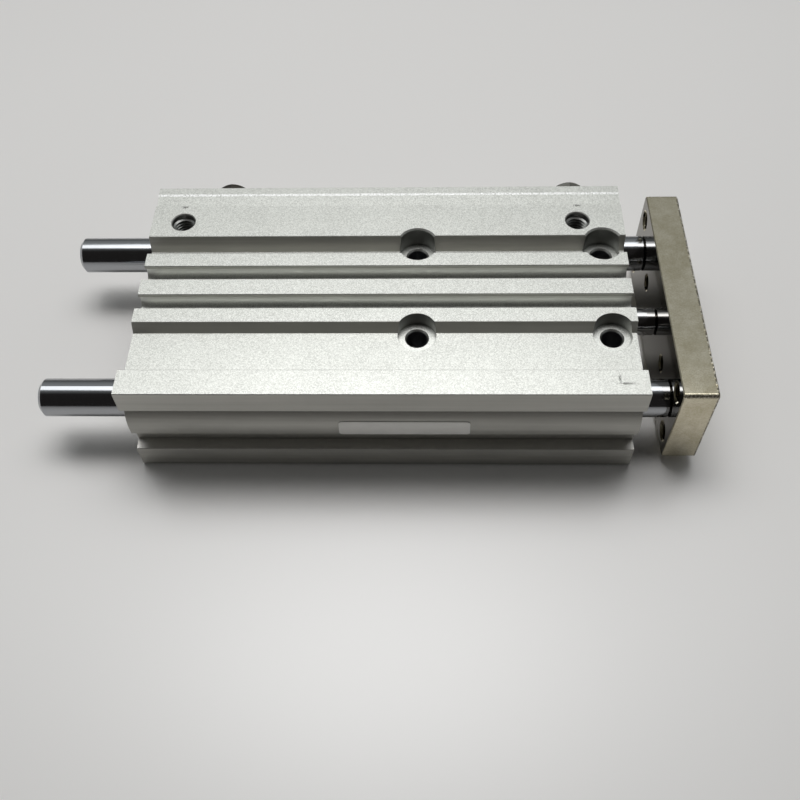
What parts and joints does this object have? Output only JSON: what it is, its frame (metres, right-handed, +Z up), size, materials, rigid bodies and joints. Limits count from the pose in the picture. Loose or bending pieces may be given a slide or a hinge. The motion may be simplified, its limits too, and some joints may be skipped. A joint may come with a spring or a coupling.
{
  "type": "guided pneumatic cylinder",
  "caption": "Compact guided air cylinder: an extruded body with sensor slots and ports, and a plate on twin guide rods and a piston rod that slides out and in.",
  "frame": {"origin": "bottom mounting face, at the rear end face of the body and midway between the guide rods", "axes": "+X along the stroke towards the plate, +Y towards the side with the ports, +Z up from the mounting face"},
  "size_m": [0.1371, 0.0638, 0.026],
  "materials": {
    "hard_anodised_aluminium": "pearl blasted and anodised",
    "turned_aluminium": "turned",
    "nickel_plated_steel": "nickel plated, warm tint",
    "hard_chrome": "ground and hard chrome plated",
    "stainless_rod": "ground and polished",
    "spring_steel": "phosphated, dark",
    "screw_steel": "black oxide",
    "dark_plug_steel": "tarnished nickel",
    "bright_plug_steel": "nickel plated",
    "bearing_steel": "polished",
    "bearing_alloy": "turned",
    "nitrile_rubber": "moulded, black",
    "urethane": "moulded, amber",
    "felt": "oiled felt",
    "holder_resin": "moulded, black",
    "sintered_magnet": "sintered"
  },
  "bodies": {
    "cylinder_body": {"body_extrusion": "hard_anodised_aluminium", "rod_cover": "turned_aluminium", "rod_cover_ring": "spring_steel", "rod_cover_gasket": "nitrile_rubber", "rod_seal": "nitrile_rubber", "front_bumper": "urethane", "head_cover": "turned_aluminium", "head_cover_ring": "spring_steel", "head_cover_gasket": "nitrile_rubber", "rear_bumper": "urethane", "passage_ball": "bearing_steel", "port_plug_rear": "dark_plug_steel", "port_plug_front": "bright_plug_steel", "plug_gasket_rear": "nitrile_rubber", "plug_gasket_front": "nitrile_rubber", "slide_bearing_rear_near": "bearing_alloy", "slide_bearing_rear_far": "bearing_alloy", "slide_bearing_front_near": "bearing_alloy", "slide_bearing_front_far": "bearing_alloy", "felt_wiper_near": "felt", "felt_wiper_far": "felt", "felt_holder_near": "holder_resin", "felt_holder_far": "holder_resin"},
    "plate_and_rods": {"plate": "nickel_plated_steel", "guide_rod_near": "hard_chrome", "guide_rod_far": "hard_chrome", "piston_rod": "stainless_rod", "piston": "turned_aluminium", "piston_seal": "nitrile_rubber", "piston_magnet": "sintered_magnet", "plate_bolt": "screw_steel", "guide_bolt_near": "screw_steel", "guide_bolt_far": "screw_steel"}
  },
  "joints": [
    {"name": "stroke", "type": "slide", "parent": "cylinder_body", "child": "plate_and_rods", "axis": [1, 0, 0], "range_m": [0, 0.075]}
  ]
}
